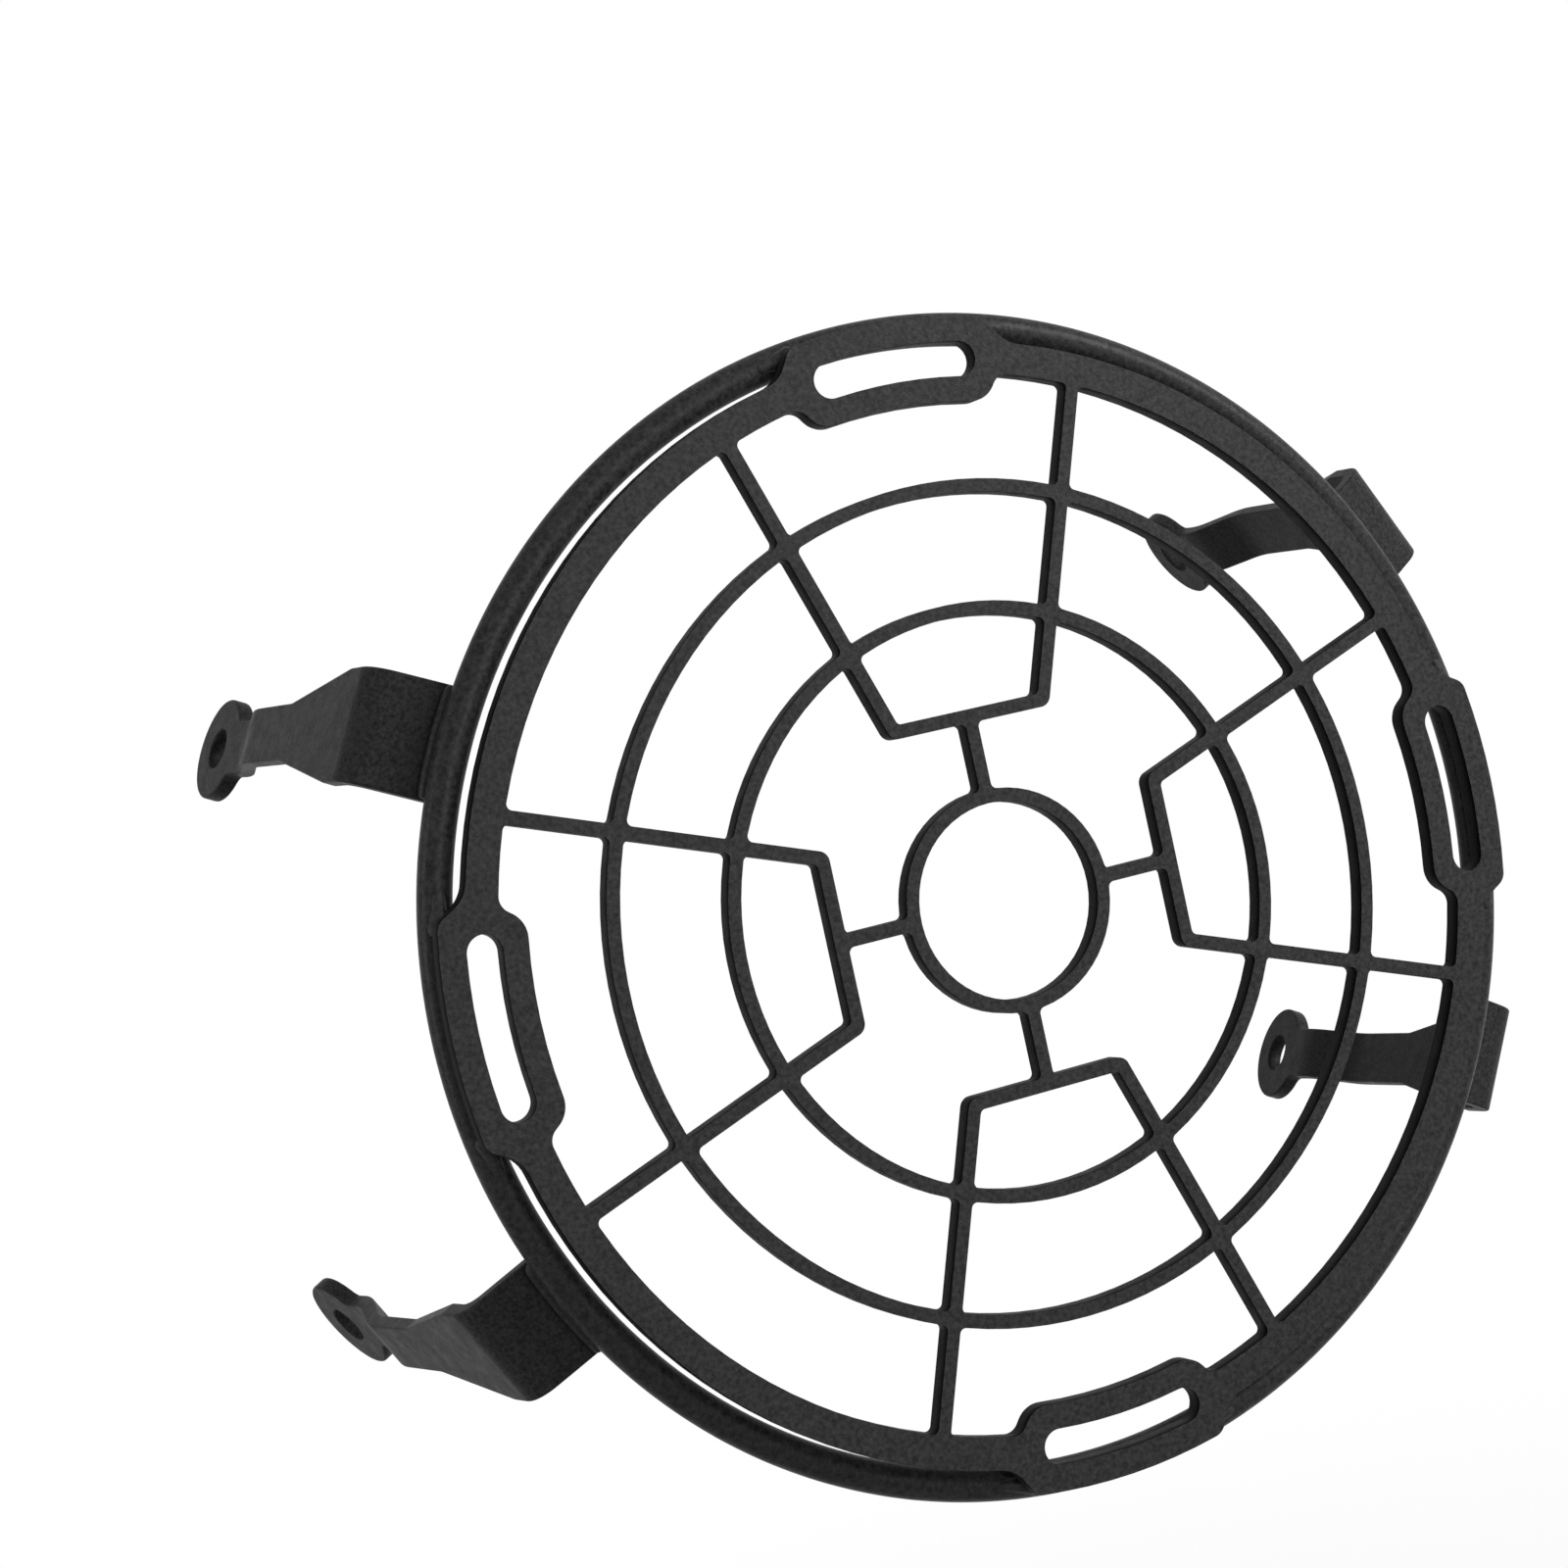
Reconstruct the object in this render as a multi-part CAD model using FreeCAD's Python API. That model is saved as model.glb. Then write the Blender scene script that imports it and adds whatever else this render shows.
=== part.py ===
import FreeCAD, Part
import math
import os

# Headlight guard for a round lamp: a cut steel grille plate on a rod hoop, held by four bent straps.
# Millimetres. The guard's axis is Y, its front faces -Y, +Z is up.
# The origin is on the axis, in the plane of the plate's back face, where the hoop touches it.

# Grille plate
PLATE_T = 3.0            # sheet thickness
BAR_W = 2.0              # width of every ring, spoke, crossbar and stub
RIM_W = 4.7              # width of the rim band
RIM_GAP = 0.3            # clearance from the rim's outer edge to the inside of the hoop
RING_OUTER_R = 62.0      # outer radius of the large ring
RING_INNER_R = 44.0      # outer radius of the middle ring
HUB_R = 16.5             # outer radius of the centre ring
STUB_LENGTH = 10.0       # from the centre ring to a crossbar
SPOKE_SPREAD = 2.6       # how far a spoke's centreline passes to the side of the axis
SPOKE_LEAN = 19.4        # degrees that a spoke leans away from the axis of its pair
CELL_FILLET = 0.9        # rounding in the corners of the grille's cells
FRAME_CORNER_R = 1.8     # rounding on the outside of the corner where a crossbar meets a spoke

# Slotted tabs, one on each of the four pair axes
TAB_OVERHANG = 1.2       # how far a tab reaches past the hoop's centreline
TAB_HALF_W = 15.8        # half width of a tab at its outer corners
TAB_FLANK_RUN = 2.8      # sideways run of a tab's slanting end
TAB_FLANK_DROP = 5.0     # drop of a tab's slanting end
TAB_CORNER_R = 2.4       # rounding of a tab's outer corners
TAB_ROOT_R = 5.0         # fillet from a tab's end into the rim
SLOT_W = 5.2             # slot width
SLOT_LENGTH = 26.2       # slot length over its round ends
SLOT_GAP = 0.2           # from the slot's outer edge to the inside of the hoop
SLOT_WEB = 3.7           # band left inside the slot
BUMP_HALF_W = 13.4       # half width of the band inside the slot, at its inner corners
BUMP_RUN = 2.8           # sideways run of the band's ends, out to the rim
BUMP_CORNER_R = 4.0      # rounding of the band's inner corners
BUMP_ROOT_R = 2.3        # fillet from the band into the rim's inner edge

# Hoop
ROD_D = 5.0              # rod diameter
HOOP_R = 85.0            # radius of the rod's centreline

# Straps: flat bar welded behind the hoop, bent back, necked, ending in an eye
UPPER_ANGLE = 27.5       # degrees of the upper straps above the horizontal
LOWER_ANGLE = 28.0       # degrees of the lower straps below the horizontal
STRAP_T = 2.5            # strap thickness
STRAP_W = 16.8           # full width
NECK_W = 8.8             # width of the neck
STRAP_SLOPE = 15.8       # degrees that a strap slopes back from the hoop, before its bend
STRAP_GAP = 0.05         # fit-up gap between a strap's edges and the rod, closed by the weld
STRAP_REACH = 12.7       # from the hoop's centreline out to the corner of the bend
BEND_R = 3.0             # inside radius of the main bend
SET_BEND_R = 16.0        # inside radius of the soft bends of the step
FLARE = 6.3              # degrees that the leg opens outwards after the bend
STEP_START = 52.0        # where the leg steps inwards, behind the hoop
STEP_RUN = 12.0          # length of the step
STEP_IN = 2.6            # depth of the step
TONGUE_FLARE = 8.0       # degrees that the eye's tongue opens outwards
TAPER_START = 12.0       # where the taper begins, behind the hoop
TAPER_END = 34.5         # where the taper meets the neck
TAPER_CORNER_R = 2.5     # rounding where the taper begins
TAPER_ROOT_R = 6.0       # rounding where the taper meets the neck
EYE_DEPTH = 77.2         # from the back of the hoop to the eye's centre
EYE_D = 16.5             # eye diameter
EYE_HOLE_D = 6.4         # clearance hole for an M6 fixing screw
EYE_ROOT_R = 3.0         # fillet from the neck into the eye

# Weld beads
TAB_BEAD_R = 2.0         # size of the bead at a tab's end, next to the tab
TAB_BEAD_RISE = 1.9      # how far it stands in front of the hoop there
TAB_TOE_R = 1.0          # size of its thin end, where it runs out on the rod
TAB_TOE_RISE = 0.3       # how far the thin end stands in front of the hoop
TAB_BEAD_LENGTH = 3.4    # from the tab to the middle of the thin end
STRAP_BEAD_R = 1.5       # size of the bead outside the hoop, along a strap
INNER_BEAD_R = 1.1       # size of the smaller bead inside the hoop
STRAP_BEAD_INSET = 1.8   # how far a bead stops short of the strap's edge
BEAD_LAP = 0.5           # how deep a bead is laid into the metal beside it, before it is trimmed

# Worked out from the sizes above
HOOP_INNER_R = HOOP_R - ROD_D / 2
HOOP_OUTER_R = HOOP_R + ROD_D / 2
RIM_OUTER_R = HOOP_INNER_R - RIM_GAP
RIM_INNER_R = RIM_OUTER_R - RIM_W
TAB_OUTER_R = HOOP_R + TAB_OVERHANG
SLOT_R = HOOP_INNER_R - SLOT_GAP - SLOT_W / 2
BUMP_R = SLOT_R - SLOT_W / 2 - SLOT_WEB
CROSSBAR_NEAR = HUB_R + STUB_LENGTH
CROSSBAR_FAR = CROSSBAR_NEAR + BAR_W
FLANK_SLOPE = TAB_FLANK_RUN / TAB_FLANK_DROP
HOOP_BACK = ROD_D
EYE_Y = HOOP_BACK + EYE_DEPTH

AXIS = FreeCAD.Vector(0, 1, 0)
ORIGIN = FreeCAD.Vector(0, 0, 0)
QUARTERS = (0, 90, 180, 270)
NEAR = 0.01              # points this close count as the same one


def vec(x, y, z):
    return FreeCAD.Vector(x, y, z)


def turned(shape, degrees):
    """A copy of the shape turned about the guard's axis, anticlockwise as seen from the front."""
    copy = shape.copy()
    copy.rotate(ORIGIN, AXIS, -degrees)
    return copy


def disc(radius, front, depth):
    return Part.makeCylinder(radius, depth, vec(0, front, 0), AXIS)


def band(outer, inner):
    """A flat ring of the plate's thickness."""
    return disc(outer, -PLATE_T, PLATE_T).cut(disc(inner, -PLATE_T, PLATE_T))


def on_circle(radius, x):
    """The point at sideways distance x on the upper half of a circle about the axis."""
    return math.sqrt(radius ** 2 - x ** 2)


def plate_prism(edges):
    """A closed outline in the plate's front plane, pushed back to the plate's rear face."""
    return Part.Face(Part.Wire(edges)).extrude(vec(0, PLATE_T, 0))


def line(a, b):
    return Part.LineSegment(a, b).toShape()


def arc(a, middle, b):
    return Part.Arc(a, middle, b).toShape()


def near(value, target):
    return abs(value - target) < NEAR


def edges_along(shape, direction, length, test):
    """Straight edges of that length in one direction, whose place passes the test."""
    found = []
    for edge in shape.Edges:
        ends = [vertex.Point for vertex in edge.Vertexes]
        if len(ends) == 2 and near(abs((ends[1] - ends[0]).dot(direction)), length):
            if near((ends[1] - ends[0]).cross(direction).Length, 0) and test(ends[0]):
                found.append(edge)
    return found


def upright_edges(shape, test):
    """The plate's edges along the axis whose place passes the test."""
    return edges_along(shape, AXIS, PLATE_T, test)


def tab_blank():
    """The outer part of a tab: an arc over the hoop and two slanting ends."""
    front = -PLATE_T
    corner_z = on_circle(TAB_OUTER_R, TAB_HALF_W)
    drop = TAB_OUTER_R - RIM_OUTER_R + RIM_W
    foot_x = TAB_HALF_W + drop * FLANK_SLOPE
    foot_z = corner_z - drop
    left = vec(-TAB_HALF_W, front, corner_z)
    right = vec(TAB_HALF_W, front, corner_z)
    foot_left = vec(-foot_x, front, foot_z)
    foot_right = vec(foot_x, front, foot_z)
    blank = plate_prism([arc(left, vec(0, front, TAB_OUTER_R), right), line(right, foot_right),
                         line(foot_right, foot_left), line(foot_left, left)])
    return blank.makeFillet(TAB_CORNER_R, upright_edges(blank, lambda p: near(p.z, corner_z)))


def bump_blank():
    """The inner part of a tab: the band inside the slot, with ends that run out to the rim."""
    front = -PLATE_T
    outer_x = BUMP_HALF_W + BUMP_RUN
    low_z = on_circle(BUMP_R, BUMP_HALF_W)
    root_z = on_circle(RIM_INNER_R, outer_x)
    slope = (root_z - low_z) / BUMP_RUN
    top_x = outer_x + (RIM_W / 2) / slope
    top_z = root_z + RIM_W / 2
    corner_l = vec(-BUMP_HALF_W, front, low_z)
    corner_r = vec(BUMP_HALF_W, front, low_z)
    top_l = vec(-top_x, front, top_z)
    top_r = vec(top_x, front, top_z)
    blank = plate_prism([arc(corner_l, vec(0, front, BUMP_R), corner_r), line(corner_r, top_r),
                         line(top_r, top_l), line(top_l, corner_l)])
    return blank.makeFillet(BUMP_CORNER_R, upright_edges(blank, lambda p: near(p.z, low_z)))


def slot_cut():
    """The curved slot with round ends, as the piece that is cut away."""
    half_angle = math.degrees(math.asin((SLOT_LENGTH - SLOT_W) / 2 / SLOT_R))
    ring = band(SLOT_R + SLOT_W / 2, SLOT_R - SLOT_W / 2)
    far = 2 * SLOT_R
    side = far * math.tan(math.radians(half_angle))
    wedge = plate_prism([line(vec(0, -PLATE_T, 0), vec(side, -PLATE_T, far)),
                         line(vec(side, -PLATE_T, far), vec(-side, -PLATE_T, far)),
                         line(vec(-side, -PLATE_T, far), vec(0, -PLATE_T, 0))])
    cut = ring.common(wedge)
    for angle in (-half_angle, half_angle):
        end = Part.makeCylinder(SLOT_W / 2, PLATE_T, vec(0, -PLATE_T, SLOT_R), AXIS)
        cut = cut.fuse(turned(end, angle))
    return cut.removeSplitter()


def spoke(side):
    """One leaning spoke of the upper pair, from its crossbar out into the rim."""
    bar = Part.makeBox(BAR_W, PLATE_T, RIM_OUTER_R, vec(-BAR_W / 2, -PLATE_T, 0))
    bar.rotate(ORIGIN, AXIS, SPOKE_LEAN)
    bar.translate(vec(SPOKE_SPREAD, 0, 0))
    below = Part.makeBox(2 * RIM_OUTER_R, PLATE_T, CROSSBAR_NEAR + RIM_OUTER_R,
                         vec(-RIM_OUTER_R, -PLATE_T, -RIM_OUTER_R))
    bar = bar.cut(below).common(disc(RIM_OUTER_R - RIM_W / 2, -PLATE_T, PLATE_T))
    if side < 0:
        bar = bar.mirror(ORIGIN, vec(1, 0, 0))
    return bar


def spoke_outside(z):
    """How far the outer edges of the upper pair of spokes lie to each side, at height z."""
    lean = math.radians(SPOKE_LEAN)
    return SPOKE_SPREAD + z * math.tan(lean) + BAR_W / 2 / math.cos(lean)


def u_frame():
    """The upper pair of spokes with the crossbar that joins them and the stub to the centre ring."""
    near_x = spoke_outside(CROSSBAR_NEAR)
    far_x = spoke_outside(CROSSBAR_FAR)
    front = -PLATE_T
    corners = [vec(-near_x, front, CROSSBAR_NEAR), vec(near_x, front, CROSSBAR_NEAR),
               vec(far_x, front, CROSSBAR_FAR), vec(-far_x, front, CROSSBAR_FAR)]
    crossbar = plate_prism([line(corners[i], corners[(i + 1) % 4]) for i in range(4)])
    stub_start = HUB_R - BAR_W / 2
    stub = Part.makeBox(BAR_W, PLATE_T, CROSSBAR_NEAR + BAR_W / 2 - stub_start,
                        vec(-BAR_W / 2, front, stub_start))
    return spoke(1).fuse([spoke(-1), crossbar, stub])


def at_frame_corner(p):
    """True on the outside of the corner where a crossbar meets a spoke."""
    return near(math.hypot(p.x, p.z), math.hypot(spoke_outside(CROSSBAR_NEAR), CROSSBAR_NEAR))


def rounded_cells(outer_r, inner_r, bars):
    """The openings that the bars leave in one ring of the grille, with their corners rounded."""
    cells = []
    for cell in band(outer_r, inner_r).cut(bars).removeSplitter().Solids:
        cell = cell.makeFillet(CELL_FILLET, upright_edges(cell, lambda p: not at_frame_corner(p)))
        frame_corners = upright_edges(cell, at_frame_corner)
        if frame_corners:
            cell = cell.makeFillet(FRAME_CORNER_R, frame_corners)
        cells.append(cell)
    return cells


def outer_cells(bars):
    """The openings next to the rim: four long ones, and four that go round the bands of the tabs."""
    bumps = [turned(bump_blank(), quarter) for quarter in QUARTERS]
    cells = []
    for cell in band(RIM_INNER_R, RING_OUTER_R).cut(bars).cut(Part.makeCompound(bumps)).Solids:
        cell = cell.removeSplitter()
        cell = cell.makeFillet(CELL_FILLET, upright_edges(cell, at_bar))
        roots = upright_edges(cell, at_bump)
        if roots:
            cell = cell.makeFillet(BUMP_ROOT_R, roots)
        cells.append(cell)
    return cells


def at_bump(p):
    """True where the band of a tab runs into the rim's inner edge."""
    on_rim = near(math.hypot(p.x, p.z), RIM_INNER_R)
    return on_rim and near(min(abs(p.x), abs(p.z)), BUMP_HALF_W + BUMP_RUN)


def at_bar(p):
    """True where a spoke meets the large ring or the rim."""
    radius = math.hypot(p.x, p.z)
    return near(radius, RING_OUTER_R) or near(radius, RIM_INNER_R) and not at_bump(p)


def grille_plate():
    """The one-piece grille: rim with four slotted tabs, two rings, centre ring, spokes and frames."""
    blank = disc(RIM_OUTER_R, -PLATE_T, PLATE_T)
    for quarter in QUARTERS:
        blank = blank.fuse(turned(tab_blank(), quarter))
    blank = blank.removeSplitter()
    roots = upright_edges(blank, lambda p: near(math.hypot(p.x, p.z), RIM_OUTER_R))
    blank = blank.makeFillet(TAB_ROOT_R, roots)

    frame = u_frame()
    bars = Part.makeCompound([turned(frame, quarter) for quarter in QUARTERS])
    cuts = [disc(HUB_R - BAR_W, -PLATE_T, PLATE_T)]
    cuts += rounded_cells(RING_INNER_R - BAR_W, HUB_R, bars)
    cuts += rounded_cells(RING_OUTER_R - BAR_W, RING_INNER_R, bars)
    cuts += outer_cells(bars)
    slot = slot_cut()
    cuts += [turned(slot, quarter) for quarter in QUARTERS]
    return blank.cut(cuts).removeSplitter()


def hoop():
    return Part.makeTorus(HOOP_R, ROD_D / 2, vec(0, ROD_D / 2, 0), AXIS)


def offset_line(points, distance):
    """The open line of points moved sideways by a distance, with its corners kept sharp."""
    moved = []
    count = len(points)
    for i in range(count):
        normals = []
        for a, b in ((i - 1, i), (i, i + 1)):
            if a >= 0 and b < count:
                along = (points[b] - points[a]).normalize()
                normals.append(vec(-along.y, along.x, 0))
        if len(normals) == 1:
            moved.append(points[i] + normals[0] * distance)
        else:
            middle = (normals[0] + normals[1]).normalize()
            moved.append(points[i] + middle * (distance / middle.dot(normals[0])))
    return moved


def rounded_edges(points, radii):
    """Straight runs through the points, joined by tangent arcs of the given radii."""
    edges = []
    start = points[0]
    for i in range(1, len(points) - 1):
        back = (points[i - 1] - points[i]).normalize()
        ahead = (points[i + 1] - points[i]).normalize()
        half = math.acos(max(-1.0, min(1.0, back.dot(ahead)))) / 2
        reach = radii[i - 1] / math.tan(half)
        first = points[i] + back * reach
        last = points[i] + ahead * reach
        bisector = (back + ahead).normalize()
        middle = points[i] + bisector * (radii[i - 1] / math.sin(half) - radii[i - 1])
        edges.append(line(start, first))
        edges.append(arc(first, middle, last))
        start = last
    edges.append(line(start, points[-1]))
    return edges


def strap_face(r):
    """Depth of the strap's front face before its bend, where it slopes back from the rod.
    The strap is flat and the hoop is round, so its two edges come nearest to the rod."""
    slope = math.radians(STRAP_SLOPE)
    reach = ROD_D / 2 + STRAP_GAP
    seat_r = on_circle(HOOP_R, STRAP_W / 2) - reach * math.sin(slope)
    seat_y = ROD_D / 2 + reach * math.cos(slope)
    return seat_y + (r - seat_r) * math.tan(slope)


def strap_line():
    """The strap's outer face seen from its edge, as points of (distance from the axis, depth)."""
    bend_r = HOOP_R + STRAP_REACH
    bend_y = strap_face(bend_r)
    step_y = HOOP_BACK + STEP_START
    step_r = bend_r + (step_y - bend_y) * math.tan(math.radians(FLARE))
    tongue_r = step_r - STEP_IN
    tongue_y = step_y + STEP_RUN
    end_y = EYE_Y + EYE_D
    end_r = tongue_r + (end_y - tongue_y) * math.tan(math.radians(TONGUE_FLARE))
    points = [(HOOP_INNER_R, strap_face(HOOP_INNER_R)), (bend_r, bend_y), (step_r, step_y),
              (tongue_r, tongue_y), (end_r, end_y)]
    return [vec(r, y, 0) for r, y in points]


def eye_centre():
    """The middle of the eye's hole, halfway through the strap, as (distance from the axis, depth)."""
    a = strap_line()[-2]
    flare = math.radians(TONGUE_FLARE)
    face_r = a.x + (EYE_Y - a.y) * math.tan(flare)
    return face_r - STRAP_T / 2 * math.cos(flare), EYE_Y + STRAP_T / 2 * math.sin(flare)


def strap_profile():
    """The bent strip, full width all the way, lying with its width along Z about the X axis."""
    outer = strap_line()
    inner = offset_line(outer, STRAP_T)
    turns = []
    for i in range(1, len(outer) - 1):
        turns.append((outer[i] - outer[i - 1]).cross(outer[i + 1] - outer[i]).z)
    sharp = [BEND_R] + [SET_BEND_R] * (len(turns) - 1)
    outer_radii = [r + STRAP_T if turn > 0 else r for r, turn in zip(sharp, turns)]
    inner_radii = [r if turn > 0 else r + STRAP_T for r, turn in zip(sharp, turns)]
    edges = rounded_edges(outer, outer_radii)
    edges.append(line(outer[-1], inner[-1]))
    edges += reversed(rounded_edges(inner, inner_radii))
    edges.append(line(inner[0], outer[0]))
    face = Part.Face(Part.Wire(Part.__sortEdges__(edges)))
    face.translate(vec(0, 0, -STRAP_W))
    return face.extrude(vec(0, 0, 2 * STRAP_W))


def strap_plan():
    """The strap's outline seen square on: full width, taper, neck and round eye."""
    half = STRAP_W / 2
    neck = NECK_W / 2
    front = HOOP_BACK - STRAP_T
    taper_a = HOOP_BACK + TAPER_START
    taper_b = HOOP_BACK + TAPER_END
    edge = [vec(0, front, half), vec(0, taper_a, half), vec(0, taper_b, neck), vec(0, EYE_Y, neck)]
    radii = [TAPER_CORNER_R, TAPER_ROOT_R]
    upper = rounded_edges(edge, radii)
    lower = rounded_edges([vec(p.x, p.y, -p.z) for p in edge], radii)
    ends = [line(vec(0, front, -half), vec(0, front, half)), line(vec(0, EYE_Y, neck), vec(0, EYE_Y, -neck))]
    outline = Part.Face(Part.Wire(Part.__sortEdges__(upper + lower + ends)))
    far = HOOP_R + STRAP_REACH + EYE_D
    outward = vec(1, 0, 0)
    leg = outline.extrude(outward * (2 * far))
    eye = Part.makeCylinder(EYE_D / 2, 2 * far, vec(0, EYE_Y, 0), outward)
    plan = leg.fuse(eye).removeSplitter()
    roots = edges_along(plan, outward, 2 * far,
                        lambda p: near(abs(p.z), neck) and p.y > EYE_Y - EYE_D / 2)
    return plan.makeFillet(EYE_ROOT_R, roots)


def strap():
    """One strap, pointing along +X."""
    body = strap_profile().common(strap_plan())
    r, y = eye_centre()
    flare = math.radians(TONGUE_FLARE)
    outward = vec(math.cos(flare), -math.sin(flare), 0)
    hole = Part.makeCylinder(EYE_HOLE_D / 2, 4 * STRAP_T, vec(r, y, 0) - outward * (2 * STRAP_T), outward)
    return body.cut(hole).removeSplitter()


def even_bead(ring_r, depth, size, start, end):
    """A round-ended weld bead along a circle about the axis, between two angles from +X."""
    middle = vec(ring_r, depth, 0)
    face = Part.Face(Part.Wire(Part.makeCircle(size, middle, vec(0, 0, 1))))
    body = face.revolve(ORIGIN, vec(0, -1, 0), end - start)
    body = turned(body, start)
    for angle in (start, end):
        body = body.fuse(turned(Part.makeSphere(size, middle), angle))
    return body


def tapered_bead(root, toe):
    """A bead from a thick end to a thin one on the hoop's front, each (angle, size, rise)."""
    rounds = []
    wires = []
    for angle, size, rise in (root, toe):
        middle = vec(HOOP_R, size - rise, 0)
        rounds.append(turned(Part.makeSphere(size, middle), angle))
        wires.append(turned(Part.Wire(Part.makeCircle(size, middle, vec(0, 0, 1))), angle))
    return Part.makeLoft(wires, True, True).fuse(rounds)


def largest(shape):
    return max(shape.Solids, key=lambda solid: solid.Volume)


def tab_beads(plate, ring):
    """The beads that join both ends of each tab to the front of the hoop."""
    under = plate.copy()
    under.translate(AXIS * PLATE_T)
    end_x = TAB_HALF_W + TAB_OVERHANG * FLANK_SLOPE
    end_angle = math.degrees(math.asin(end_x / HOOP_R))
    run = math.degrees(TAB_BEAD_LENGTH / HOOP_R)
    lap = math.degrees(BEAD_LAP / HOOP_R)
    beads = {}
    places = {"right": (0, ("lower", "upper")), "top": (90, ("right", "left")),
              "left": (180, ("upper", "lower")), "bottom": (270, ("left", "right"))}
    for tab, (middle, ends) in places.items():
        for sign, end in zip((-1, 1), ends):
            root = (middle + sign * (end_angle - lap), TAB_BEAD_R, TAB_BEAD_RISE)
            toe = (middle + sign * (end_angle + run), TAB_TOE_R, TAB_TOE_RISE)
            raw = tapered_bead(root, toe)
            beads["tab_weld_%s_%s" % (tab, end)] = largest(raw.cut([plate, under, ring]))
    return beads


def strap_beads(name, angle, body, ring):
    """The two beads that join one strap to the hoop, outside and inside the rod."""
    beads = {}
    half = math.degrees((STRAP_W / 2 - STRAP_BEAD_INSET) / HOOP_R)
    sides = {"outer": (HOOP_OUTER_R - BEAD_LAP / 2, STRAP_BEAD_R),
             "inner": (HOOP_INNER_R + INNER_BEAD_R, INNER_BEAD_R)}
    for side, (ring_r, size) in sides.items():
        depth = strap_face(ring_r) - size + BEAD_LAP
        raw = even_bead(ring_r, depth, size, angle - half, angle + half)
        beads["strap_weld_%s_%s" % (side, name)] = largest(raw.cut([body, ring]))
    return beads


def build():
    plate = grille_plate()
    ring = hoop()
    parts = {"grille_plate": plate, "hoop": ring}
    angles = {"right_upper": UPPER_ANGLE, "left_upper": 180 - UPPER_ANGLE,
              "left_lower": 180 + LOWER_ANGLE, "right_lower": 360 - LOWER_ANGLE}
    straight = strap()
    for name, angle in angles.items():
        body = turned(straight, angle)
        parts["strap_" + name] = body
        parts.update(strap_beads(name, angle, body, ring))
    parts.update(tab_beads(plate, ring))
    return parts


os.makedirs("parts", exist_ok=True)
for node, shape in build().items():
    shape.exportStep("parts/%s.step" % node)
    print(node, len(shape.Solids), shape.isValid(), round(shape.Volume, 2))
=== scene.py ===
import math

import bmesh
import bpy
from bpy.props import FloatProperty, FloatVectorProperty, IntProperty, PointerProperty
from mathutils import Matrix, Vector


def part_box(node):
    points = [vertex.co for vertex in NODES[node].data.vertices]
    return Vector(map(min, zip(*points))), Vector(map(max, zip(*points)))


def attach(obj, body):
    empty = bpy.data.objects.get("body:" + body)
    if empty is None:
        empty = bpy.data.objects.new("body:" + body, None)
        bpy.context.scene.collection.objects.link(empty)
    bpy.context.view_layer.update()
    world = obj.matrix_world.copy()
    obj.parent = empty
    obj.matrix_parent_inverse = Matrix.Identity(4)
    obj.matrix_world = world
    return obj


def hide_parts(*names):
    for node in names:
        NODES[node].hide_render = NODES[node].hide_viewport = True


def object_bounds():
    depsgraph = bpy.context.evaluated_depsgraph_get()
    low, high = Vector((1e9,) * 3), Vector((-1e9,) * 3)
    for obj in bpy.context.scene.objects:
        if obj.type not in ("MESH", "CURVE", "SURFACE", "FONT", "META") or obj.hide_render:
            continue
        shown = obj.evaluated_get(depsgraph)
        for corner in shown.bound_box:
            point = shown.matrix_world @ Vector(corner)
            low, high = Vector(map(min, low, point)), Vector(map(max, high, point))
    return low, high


bl_info = {
    "name": "Round Headlight Guard",
    "version": (1, 0, 0),
    "blender": (4, 5, 0),
    "location": "View3D > Sidebar > Guard",
    "description": "Coats, softens and lights a welded steel guard for a round headlamp",
    "category": "Object",
}

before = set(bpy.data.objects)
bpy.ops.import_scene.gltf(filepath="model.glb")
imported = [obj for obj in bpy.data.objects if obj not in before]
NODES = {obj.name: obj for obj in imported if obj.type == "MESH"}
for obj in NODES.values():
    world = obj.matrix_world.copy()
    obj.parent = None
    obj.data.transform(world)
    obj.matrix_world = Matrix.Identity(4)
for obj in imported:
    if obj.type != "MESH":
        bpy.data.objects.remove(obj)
CAD_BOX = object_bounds()
MM = 0.001
FULL_TURN = 2 * math.pi
SAME_PLACE = 0.001 * MM              # vertices this close are one vertex
FLAT_ANGLE = math.radians(0.2)       # faces turning by less than this are one flat face
WALL_FACING = 0.35                   # a surface facing forward by less than this is a cut wall
FACE_FACING = 0.8                    # and by more than this a face

# The hoop's sizes, read from the frame.
HOOP_LOW, HOOP_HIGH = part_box("hoop")
ROD_R = (HOOP_HIGH.y - HOOP_LOW.y) / 2
HOOP_Y = (HOOP_HIGH.y + HOOP_LOW.y) / 2
HOOP_R = (HOOP_HIGH.x - HOOP_LOW.x) / 2 - ROD_R
PLATE_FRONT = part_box("grille_plate")[0].y


def linear(hex_colour):
    """An sRGB hex colour as the linear values that a shader takes."""
    channels = [int(hex_colour[i:i + 2], 16) / 255 for i in (0, 2, 4)]
    return [c / 12.92 if c <= 0.04045 else ((c + 0.055) / 1.055) ** 2.4 for c in channels]


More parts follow.
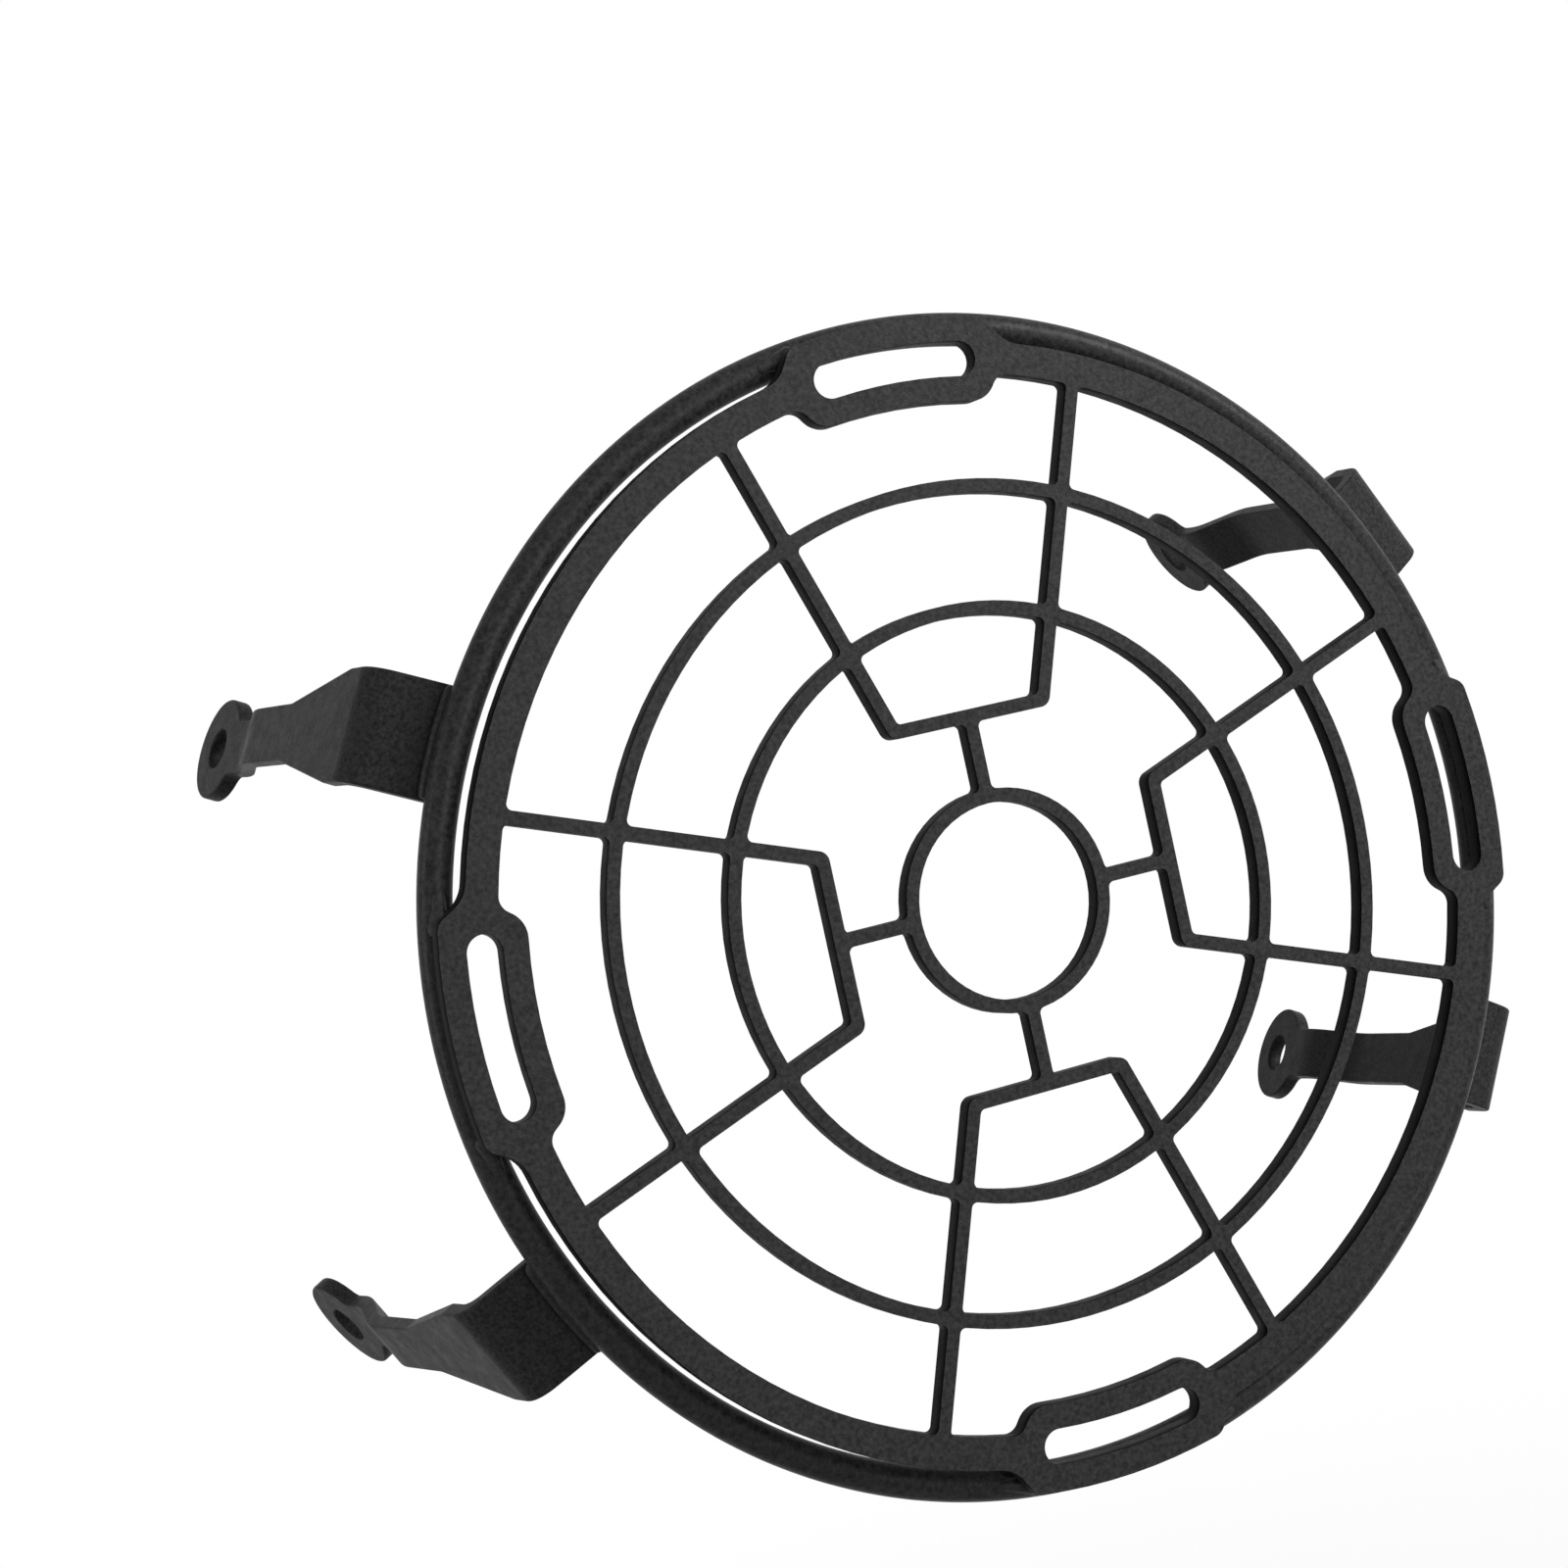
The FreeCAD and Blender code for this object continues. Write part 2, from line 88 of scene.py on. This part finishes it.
class GuardCoating(bpy.types.PropertyGroup):
    """The powder coat: cured black polyester powder with a fine texture."""

    colour: FloatVectorProperty(
        name="Coat colour", description="Main colour of the black powder coat",
        subtype="COLOR", size=3, min=0, max=1, default=linear("1C1C1C"))
    light_colour: FloatVectorProperty(
        name="Grain colour", description="Colour on the tips of the grain",
        subtype="COLOR", size=3, min=0, max=1, default=linear("383838"))
    # Painted shade: the cut walls face sideways, away from the lamps, so they are given this darker colour in
    # place of the faces' colour
    wall_shade_colour: FloatVectorProperty(
        name="Cut wall colour", description="Colour on the cut walls of the sheet, where the coat is dull",
        subtype="COLOR", size=3, min=0, max=1, default=linear("222222"))
    # Painted shade: the cut walls right behind the front edges are painted near black, as the shade where the
    # walls meet the front face; the next setting is how deep that painted band reaches
    edge_shade_colour: FloatVectorProperty(
        name="Edge shade band colour", description="Colour of the cut walls right behind the front edges",
        subtype="COLOR", size=3, min=0, max=1, default=(0.001, 0.001, 0.001))
    edge_shade_depth: FloatProperty(
        name="Edge shade band", description="Depth of the darker band on the cut walls, behind the front edges",
        unit="LENGTH", default=1.8 * MM, min=0.1 * MM)
    grain: FloatProperty(
        name="Grain", description="Width of one grain of the coat's texture",
        unit="LENGTH", default=0.42 * MM, min=0.05 * MM)
    ripple: FloatProperty(
        name="Flow", description="Width of the slow waves where the powder flowed as it cured",
        unit="LENGTH", default=2.6 * MM, min=0.2 * MM)
    relief: FloatProperty(
        name="Relief", description="Height of the grain",
        unit="LENGTH", default=0.055 * MM, min=0)
    roughness: FloatProperty(
        name="Roughness", description="Mean roughness of the satin surface",
        subtype="FACTOR", default=0.5, min=0, max=1)
    smoother: FloatProperty(
        name="Smoother", description="How far the roughness falls where the waves are low",
        subtype="FACTOR", default=0.05, min=0, max=1)
    rougher: FloatProperty(
        name="Rougher", description="How far the roughness rises where the waves are high",
        subtype="FACTOR", default=0.07, min=0, max=1)
    specular: FloatProperty(
        name="Specular", description="Strength of the coat's reflections",
        subtype="FACTOR", default=0.09, min=0, max=1)
    wall_specular: FloatProperty(
        name="Cut wall specular", description="Strength of the reflections on the cut walls",
        subtype="FACTOR", default=0.035, min=0, max=1)


class GuardMetal(bpy.types.PropertyGroup):
    """The edges of the cut sheet and the division of the bent rod."""

    plate_edge: FloatProperty(
        name="Plate edge", description="Rounding of the coated edges of the grille plate",
        unit="LENGTH", default=0.35 * MM, min=0)
    strap_edge: FloatProperty(
        name="Strap edge", description="Rounding of the coated edges of the straps",
        unit="LENGTH", default=0.4 * MM, min=0)
    edge_segments: IntProperty(
        name="Edge segments", description="Faces across a rounded edge", default=3, min=1, max=6)
    sharp_angle: FloatProperty(
        name="Sharp angle", description="Edges turning by more than this are rounded",
        subtype="ANGLE", default=math.radians(55))
    hoop_steps: IntProperty(
        name="Hoop steps", description="Divisions round the hoop", default=360, min=24)
    rod_segments: IntProperty(
        name="Rod segments", description="Divisions round the rod", default=40, min=8)


class GuardWelds(bpy.types.PropertyGroup):
    """The weld beads, softened by the coat."""

    root_r: FloatProperty(
        name="Root size", description="Size of a tab's bead next to the tab",
        unit="LENGTH", default=2.0 * MM)
    root_rise: FloatProperty(
        name="Root rise", description="How far a tab's bead stands in front of the hoop at the tab",
        unit="LENGTH", default=1.9 * MM)
    toe_r: FloatProperty(
        name="Toe size", description="Size of a tab's bead at its thin end",
        unit="LENGTH", default=1.0 * MM)
    toe_rise: FloatProperty(
        name="Toe rise", description="How far the thin end stands in front of the hoop",
        unit="LENGTH", default=0.3 * MM)
    tab_run: FloatProperty(
        name="Tab bead run", description="Distance between the middles of its thick and thin ends",
        unit="LENGTH", default=3.9 * MM)
    tab_end_r: FloatProperty(
        name="Tab bead ends", description="Rounding of the two ends of a tab's bead",
        unit="LENGTH", default=1.4 * MM)
    outer_r: FloatProperty(
        name="Outer bead", description="Size of the bead outside the hoop, along a strap",
        unit="LENGTH", default=1.1 * MM)
    inner_r: FloatProperty(
        name="Inner bead", description="Size of the bead inside the hoop, along a strap",
        unit="LENGTH", default=1.1 * MM)
    pitch: FloatProperty(
        name="Ripple pitch", description="Distance between the ripples of a bead",
        unit="LENGTH", default=1.6 * MM)
    depth: FloatProperty(
        name="Ripple depth", description="Depth of the ripples, nearly filled by the coat",
        unit="LENGTH", default=0.03 * MM)


class GuardStudio(bpy.types.PropertyGroup):
    """The camera, the lamps and the floor."""

    place: FloatVectorProperty(
        name="Camera place", description="Where the camera stands",
        subtype="TRANSLATION", size=3, default=(-192.22 * MM, -399.03 * MM, 35.4 * MM))
    aim: FloatVectorProperty(
        name="Camera aim", description="Where its axis meets the front of the plate",
        subtype="TRANSLATION", size=3, default=(-30.89 * MM, -3.0 * MM, 23.89 * MM))
    roll: FloatProperty(
        name="Roll", description="How far the guard leans in the picture",
        subtype="ANGLE", default=math.radians(-12.26))
    lens: FloatProperty(
        name="Lens", description="Focal length in millimetres, on a sensor 36 mm wide", default=69.23, min=1)
    floor_drop: FloatProperty(
        name="Floor drop", description="How far the floor lies below the guard",
        unit="LENGTH", default=60 * MM, min=0)
    floor_reach: FloatProperty(
        name="Floor reach", description="How far the floor reaches to each side of its middle",
        unit="LENGTH", default=4.0, min=1)
    white: FloatProperty(
        name="Background", description="Brightness of the plain background", default=1.0, min=0)
    room: FloatProperty(
        name="Room light", description="Brightness of the studio's walls", default=0.04, min=0)
    paper: FloatProperty(
        name="Paper", description="How much of the lamps' light the floor gives back",
        subtype="FACTOR", default=0.3, min=0, max=1)
    shadow_reach: FloatProperty(
        name="Shadow reach", description="Distance from the guard at which the floor turns plain white",
        unit="LENGTH", default=320 * MM, min=1 * MM)
    shadow_share: FloatProperty(
        name="Shadow share", description="How much of the shadow shows under the guard",
        subtype="FACTOR", default=0.12, min=0, max=1)
    key_power: FloatProperty(
        name="Key power", description="Power of the soft box at the upper right",
        unit="POWER", default=4.6, min=0)
    strip_power: FloatProperty(
        name="Strip power", description="Power of the narrow lamp on the left",
        unit="POWER", default=0.8, min=0)
    fill_power: FloatProperty(
        name="Fill power", description="Power of the large lamp in front",
        unit="POWER", default=7, min=0)


def settings():
    return bpy.context.scene.guard


def add(tree, kind, inputs=None, **values):
    """Adds a node, sets its properties, and sets or links its inputs."""
    node = tree.nodes.new(kind)
    for name, value in values.items():
        setattr(node, name, value)
    for name, value in (inputs or {}).items():
        if isinstance(value, bpy.types.NodeSocket):
            tree.links.new(value, node.inputs[name])
        else:
            node.inputs[name].default_value = value
    return node


def powder_coat(name, grain=1.0, relief=1.0, gloss=0.0, sheen=1.0, cut_walls=False):
    """Satin black powder coat. Powder that was sprayed dry and baked leaves a pebbled skin: it breaks
    the highlights into a fine sparkle and makes the black look slightly dusty. With cut_walls, the cut
    walls of a sheet get painted shade: a darker colour and weaker reflections where they face sideways, and
    near black with no reflections just behind the front edges. Noise seldom leaves the middle of its range,
    so the map ranges read only that part of it."""
    coat = settings().coating
    material = bpy.data.materials.new(name)
    material.use_nodes = True
    tree = material.node_tree
    tree.nodes.clear()
    place = add(tree, "ShaderNodeTexCoord").outputs["Object"]
    pebbles = add(tree, "ShaderNodeTexVoronoi", {"Vector": place, "Scale": 1 / (coat.grain * grain),
                                                 "Randomness": 1.0, "Smoothness": 0.6},
                  feature="SMOOTH_F1")
    dust = add(tree, "ShaderNodeTexNoise", {"Vector": place, "Scale": 1 / (coat.grain * grain * 1.7),
                                            "Detail": 3.0, "Roughness": 0.6})
    flow = add(tree, "ShaderNodeTexNoise", {"Vector": place, "Scale": 1 / coat.ripple, "Detail": 2.0})
    tone = add(tree, "ShaderNodeMapRange", {"Value": dust.outputs["Fac"], "From Min": 0.32, "From Max": 0.68})
    colour = add(tree, "ShaderNodeMix", {"Factor": tone.outputs["Result"],
                                         "A": (*coat.colour, 1), "B": (*coat.light_colour, 1)},
                 data_type="RGBA")
    gleam = coat.specular * sheen
    if cut_walls:
        # Painted shade: surfaces that face sideways (the cut walls) take the darker wall colour and weaker
        # reflections
        normal = add(tree, "ShaderNodeNewGeometry").outputs["Normal"]
        facing = add(tree, "ShaderNodeSeparateXYZ", {0: normal})
        ahead = add(tree, "ShaderNodeMath", {0: facing.outputs["Y"]}, operation="ABSOLUTE")
        face = add(tree, "ShaderNodeMapRange", {"Value": ahead.outputs[0],
                                                "From Min": WALL_FACING, "From Max": FACE_FACING})
        # Painted shade: within one band depth behind the front plane the walls fade to near black and lose
        # their reflections
        depth = add(tree, "ShaderNodeSeparateXYZ", {0: place})
        behind = add(tree, "ShaderNodeMapRange", {"Value": depth.outputs["Y"], "From Min": PLATE_FRONT,
                                                  "From Max": PLATE_FRONT + coat.edge_shade_depth})
        dull = add(tree, "ShaderNodeMath", {0: behind.outputs["Result"], 1: coat.wall_specular},
                   operation="MULTIPLY")
        gleam = add(tree, "ShaderNodeMapRange", {"Value": face.outputs["Result"], "To Min": dull.outputs[0],
                                                 "To Max": coat.specular}).outputs["Result"]
        wall = add(tree, "ShaderNodeMix", {"Factor": behind.outputs["Result"],
                                           "A": (*coat.edge_shade_colour, 1), "B": (*coat.wall_shade_colour, 1)},
                   data_type="RGBA")
        colour = add(tree, "ShaderNodeMix", {"Factor": face.outputs["Result"], "A": wall.outputs["Result"],
                                             "B": colour.outputs["Result"]}, data_type="RGBA")
    shine = add(tree, "ShaderNodeMapRange", {"Value": flow.outputs["Fac"], "From Min": 0.3, "From Max": 0.7,
                                             "To Min": coat.roughness - gloss - coat.smoother,
                                             "To Max": coat.roughness - gloss + coat.rougher})
    fine = add(tree, "ShaderNodeBump", {"Height": pebbles.outputs["Distance"], "Strength": 0.55,
                                        "Distance": coat.relief * relief}, invert=True)
    skin = add(tree, "ShaderNodeBump", {"Height": flow.outputs["Fac"], "Strength": 0.5,
                                        "Distance": coat.relief * relief * 2,
                                        "Normal": fine.outputs["Normal"]})
    shader = add(tree, "ShaderNodeBsdfPrincipled", {"Base Color": colour.outputs["Result"],
                                                    "Roughness": shine.outputs["Result"],
                                                    "Specular IOR Level": gleam,
                                                    "Normal": skin.outputs["Normal"]})
    add(tree, "ShaderNodeOutputMaterial", {"Surface": shader.outputs["BSDF"]})
    return material


def object_from(mesh_data, name, material):
    """Turns a bmesh into an object with smooth faces and one material."""
    mesh = bpy.data.meshes.new(name)
    mesh_data.to_mesh(mesh)
    mesh_data.free()
    mesh.materials.clear()
    mesh.materials.append(material)
    mesh.shade_smooth()
    piece = bpy.data.objects.new(name, mesh)
    bpy.context.scene.collection.objects.link(piece)
    return piece


def seat(piece, *nodes):
    """Puts the piece in place of its CAD nodes, on the guard's one body."""
    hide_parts(*nodes)
    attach(piece, "root")
    return piece


def softened_copy(node, name, material, width):
    """A copy of a CAD node with its sharp edges rounded, as a coat of powder leaves them."""
    metal = settings().metal
    data = bmesh.new()
    data.from_mesh(NODES[node].data)
    bmesh.ops.remove_doubles(data, verts=data.verts, dist=SAME_PLACE)
    bmesh.ops.dissolve_limit(data, angle_limit=FLAT_ANGLE, verts=data.verts, edges=data.edges)
    weight = data.edges.layers.float.new("bevel_weight_edge")
    for edge in data.edges:
        if edge.is_manifold and edge.calc_face_angle() > metal.sharp_angle:
            edge[weight] = 1.0
    piece = object_from(data, name, material)
    bevel = piece.modifiers.new("Coated edges", "BEVEL")
    bevel.limit_method = "WEIGHT"
    bevel.width = width
    bevel.segments = metal.edge_segments
    bevel.profile = 0.5
    bevel.use_clamp_overlap = True
    bevel.harden_normals = False
    normals = piece.modifiers.new("Flat faces stay flat", "WEIGHTED_NORMAL")
    normals.mode = "FACE_AREA"
    normals.weight = 100
    return seat(piece, node)


class GUARD_OT_plate(bpy.types.Operator):
    """Coat the cut grille plate and round its edges"""

    bl_idname = "guard.plate"
    bl_label = "Grille Plate"

    def execute(self, context):
        coat = powder_coat("Textured black powder coat on cut sheet", cut_walls=True)
        softened_copy("grille_plate", "coated_grille_plate", coat, settings().metal.plate_edge)
        return {"FINISHED"}


class GUARD_OT_hoop(bpy.types.Operator):
    """Bend the round rod into the hoop"""

    bl_idname = "guard.hoop"
    bl_label = "Rod Hoop"

    def execute(self, context):
        metal = settings().metal
        data = bmesh.new()
        section = bmesh.ops.create_circle(data, cap_ends=False, segments=metal.rod_segments, radius=ROD_R)
        bmesh.ops.translate(data, verts=section["verts"], vec=(HOOP_R, HOOP_Y, 0))
        bmesh.ops.spin(data, geom=data.verts[:] + data.edges[:], cent=(0, 0, 0), axis=(0, 1, 0),
                       dvec=(0, 0, 0), angle=FULL_TURN, steps=metal.hoop_steps, use_merge=True)
        bmesh.ops.recalc_face_normals(data, faces=data.faces)
        coat = powder_coat("Textured black powder coat on bent rod", grain=1.15, gloss=0.14, sheen=0.75)
        seat(object_from(data, "bent_rod_hoop", coat), "hoop")
        return {"FINISHED"}


class GUARD_OT_straps(bpy.types.Operator):
    """Coat the four bent straps and round their edges"""

    bl_idname = "guard.straps"
    bl_label = "Bent Straps"

    def execute(self, context):
        coat = powder_coat("Fine black powder coat on bent strap", grain=0.8, relief=0.6, gloss=0.05,
                           sheen=0.4)
        for node in sorted(NODES):
            if node.startswith("strap_") and "weld" not in node:
                softened_copy(node, "bent_" + node, coat, settings().metal.strap_edge)
        return {"FINISHED"}


def turn_of(point):
    """Angle of a point about the guard's axis, anticlockwise from the right as seen from the front."""
    return math.atan2(point.z, point.x)


def arc_of(node):
    """The first and last angle that a CAD node spans about the axis."""
    angles = [turn_of(v.co) for v in NODES[node].data.vertices]
    middle = turn_of(sum((v.co for v in NODES[node].data.vertices), Vector()))
    offsets = [(a - middle + math.pi) % FULL_TURN - math.pi for a in angles]
    return middle + min(offsets), middle + max(offsets)


def bead_mesh(points, sides=28, rings=96):
    """A bead that starts from a sphere: points(t) gives its middle's radius from the axis, depth,
    angle and size for t from -1 to 1, and each ring of the sphere moves there."""
    data = bmesh.new()
    bmesh.ops.create_uvsphere(data, u_segments=sides, v_segments=rings, radius=1.0)
    for vert in data.verts:
        t = max(-1.0, min(1.0, vert.co.z))
        around = Vector((vert.co.x, vert.co.y, 0))
        if around.length > 1e-9:
            around.normalize()
        radius, depth, angle, size = points(t)
        out = radius + around.x * size
        vert.co = (out * math.cos(angle), depth + around.y * size, out * math.sin(angle))
    bmesh.ops.recalc_face_normals(data, faces=data.faces)
    return data


def rippled(distance, welds):
    """How far the ripples lower the bead at a distance along it."""
    return welds.depth * (0.5 - 0.5 * math.cos(FULL_TURN * distance / welds.pitch))


def blunt(t, half, size):
    """Share of the full size at t along a bead of that half length, with round ends."""
    past = (abs(t) * half - (half - size)) / size
    return math.sqrt(max(0.0, 1 - max(0.0, past) ** 2))


class GUARD_OT_tab_welds(bpy.types.Operator):
    """Lay the beads that run from the ends of the tabs down on to the hoop"""

    bl_idname = "guard.tab_welds"
    bl_label = "Tab Welds"

    def execute(self, context):
        welds = settings().welds
        coat = powder_coat("Textured black powder coat on weld", relief=0.8, gloss=0.04)
        for node in sorted(NODES):
            if not node.startswith("tab_weld_"):
                continue
            first, last = arc_of(node)
            quarter = math.pi / 2
            off_first = abs(first / quarter - round(first / quarter))
            off_last = abs(last / quarter - round(last / quarter))
            root, toe = (first, last) if off_first < off_last else (last, first)
            sign = 1 if toe > root else -1
            toe_middle = toe - sign * welds.toe_r / HOOP_R
            length = welds.tab_run + welds.root_r + welds.toe_r

            def points(t):
                along = (t + 1) / 2
                travel = along * length
                easing = 1 - (1 - along) ** 2
                size = welds.root_r + (welds.toe_r - welds.root_r) * easing
                rise = welds.root_rise + (welds.toe_rise - welds.root_rise) * easing
                size_here = size * blunt(t, length / 2, welds.tab_end_r)
                angle = toe_middle + sign * (travel - length + welds.toe_r) / HOOP_R
                return HOOP_R, size - rise, angle, max(0.0, size_here - rippled(travel, welds))

            seat(object_from(bead_mesh(points), "bead_" + node, coat), node)
        return {"FINISHED"}


class GUARD_OT_strap_welds(bpy.types.Operator):
    """Lay the beads between the hoop and the straps, outside and inside the rod"""

    bl_idname = "guard.strap_welds"
    bl_label = "Strap Welds"

    def execute(self, context):
        welds = settings().welds
        coat = powder_coat("Textured black powder coat on weld seam", relief=0.8, gloss=0.04)
        for node in sorted(NODES):
            if not node.startswith("strap_weld_"):
                continue
            outer = "outer" in node
            size = welds.outer_r if outer else welds.inner_r
            reach = [math.hypot(v.co.x, v.co.z) for v in NODES[node].data.vertices]
            radius = min(reach) + size if outer else max(reach) - size
            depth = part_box(node)[1].y - size
            first, last = arc_of(node)
            half = (last - first) / 2 * radius

            def points(t):
                here = max(0.0, size * blunt(t, half, size) - rippled((t + 1) * half, welds))
                return radius, depth, (first + last) / 2 + t * half / radius, here

            seat(object_from(bead_mesh(points), "bead_" + node, coat), node)
        return {"FINISHED"}


def shows_plain(tree):
    """One for the rays that show the plain background: those of the camera, and those that the guard
    reflects or lets through. Nought for the rays that light it."""
    path = add(tree, "ShaderNodeLightPath").outputs
    bounced = add(tree, "ShaderNodeMath", {0: path["Is Glossy Ray"], 1: path["Is Transmission Ray"]},
                  operation="MAXIMUM")
    return add(tree, "ShaderNodeMath", {0: path["Is Camera Ray"], 1: bounced.outputs[0]},
               operation="MAXIMUM").outputs[0]


def area_lamp(name, place, aim, size, power):
    """A white lamp with an even face that looks at a point."""
    light = bpy.data.lights.new(name, "AREA")
    light.shape = "RECTANGLE"
    light.size, light.size_y = size
    light.energy = power
    lamp = bpy.data.objects.new(name, light)
    bpy.context.scene.collection.objects.link(lamp)
    lamp.location = place
    lamp.rotation_euler = (Vector(aim) - Vector(place)).to_track_quat("-Z", "Y").to_euler()
    lamp.visible_camera = False
    return lamp


class GUARD_OT_stage(bpy.types.Operator):
    """Set up the floor, the plain background, the lamps and the camera"""

    bl_idname = "guard.stage"
    bl_label = "Studio"

    def execute(self, context):
        studio = settings().studio
        low, high = CAD_BOX

        data = bmesh.new()
        bmesh.ops.create_grid(data, x_segments=1, y_segments=1, size=studio.floor_reach)
        bmesh.ops.translate(data, verts=data.verts, vec=(0, 0, low.z - studio.floor_drop))
        paper = bpy.data.materials.new("White paper floor")
        paper.use_nodes = True
        tree = paper.node_tree
        tree.nodes.clear()
        place = add(tree, "ShaderNodeTexCoord").outputs["Object"]
        away = add(tree, "ShaderNodeVectorMath", {0: place}, operation="LENGTH").outputs["Value"]
        fade = add(tree, "ShaderNodeMapRange", {"Value": away, "From Max": studio.shadow_reach,
                                                "To Min": 1 - studio.shadow_share},
                   interpolation_type="SMOOTHSTEP")
        share = add(tree, "ShaderNodeMath", {0: shows_plain(tree), 1: fade.outputs["Result"]},
                    operation="MULTIPLY")
        matt = add(tree, "ShaderNodeBsdfDiffuse", {"Color": (studio.paper, studio.paper, studio.paper, 1)})
        glow = add(tree, "ShaderNodeEmission", {"Color": (1, 1, 1, 1), "Strength": studio.white})
        both = add(tree, "ShaderNodeMixShader", {0: share.outputs[0], 1: matt.outputs[0], 2: glow.outputs[0]})
        add(tree, "ShaderNodeOutputMaterial", {"Surface": both.outputs[0]})
        object_from(data, "paper_floor", paper)

        world = bpy.data.worlds.new("Plain studio")
        bpy.context.scene.world = world
        world.use_nodes = True
        tree = world.node_tree
        tree.nodes.clear()
        walls = add(tree, "ShaderNodeBackground", {"Color": (1, 1, 1, 1), "Strength": studio.room})
        plain = add(tree, "ShaderNodeBackground", {"Color": (1, 1, 1, 1), "Strength": studio.white})
        both = add(tree, "ShaderNodeMixShader", {0: shows_plain(tree), 1: walls.outputs[0],
                                                 2: plain.outputs[0]})
        add(tree, "ShaderNodeOutputWorld", {"Surface": both.outputs[0]})

        middle = (low + high) / 2
        area_lamp("Key soft box", place=(0.42, -0.42, 0.34), aim=middle, size=(0.3, 0.3),
                  power=studio.key_power)
        area_lamp("Left strip", place=(-0.47, 0.02, 0.08), aim=middle, size=(0.1, 0.4),
                  power=studio.strip_power)
        area_lamp("Front fill", place=(0.2, -1.5, 0.1), aim=middle, size=(0.5, 0.5),
                  power=studio.fill_power)

        lens = bpy.data.cameras.new("Camera")
        lens.sensor_width = 36
        lens.lens = studio.lens
        lens.clip_start = 0.01
        camera = bpy.data.objects.new("Camera", lens)
        bpy.context.scene.collection.objects.link(camera)
        aim = (Vector(studio.aim) - Vector(studio.place)).to_track_quat("-Z", "Y").to_matrix().to_4x4()
        camera.matrix_world = (Matrix.Translation(studio.place) @ aim
                               @ Matrix.Rotation(studio.roll, 4, "Z"))
        bpy.context.scene.camera = camera
        bpy.context.scene.view_settings.view_transform = "Standard"
        return {"FINISHED"}


class GuardSettings(bpy.types.PropertyGroup):
    """All the guard's settings."""

    coating: PointerProperty(type=GuardCoating)
    metal: PointerProperty(type=GuardMetal)
    welds: PointerProperty(type=GuardWelds)
    studio: PointerProperty(type=GuardStudio)


STEPS = (GUARD_OT_stage, GUARD_OT_plate, GUARD_OT_hoop, GUARD_OT_straps, GUARD_OT_tab_welds,
         GUARD_OT_strap_welds)


class GUARD_PT_panel(bpy.types.Panel):
    """The guard's settings and the operators that make its pieces"""

    bl_idname = "GUARD_PT_panel"
    bl_label = "Headlight Guard"
    bl_space_type = "VIEW_3D"
    bl_region_type = "UI"
    bl_category = "Guard"

    def draw(self, context):
        guard = context.scene.guard
        for group in (guard.coating, guard.metal, guard.welds, guard.studio):
            column = self.layout.column(align=True)
            for name in group.__annotations__:
                column.prop(group, name)
        for step in STEPS:
            self.layout.operator(step.bl_idname)


CLASSES = (GuardCoating, GuardMetal, GuardWelds, GuardStudio, GuardSettings, *STEPS, GUARD_PT_panel)


def register():
    for cls in CLASSES:
        bpy.utils.register_class(cls)
    bpy.types.Scene.guard = PointerProperty(type=GuardSettings)


def unregister():
    del bpy.types.Scene.guard
    for cls in reversed(CLASSES):
        bpy.utils.unregister_class(cls)


def main():
    register()
    bpy.ops.guard.stage()
    bpy.ops.guard.plate()
    bpy.ops.guard.hoop()
    bpy.ops.guard.straps()
    bpy.ops.guard.tab_welds()
    bpy.ops.guard.strap_welds()


if __name__ == "__main__":
    main()
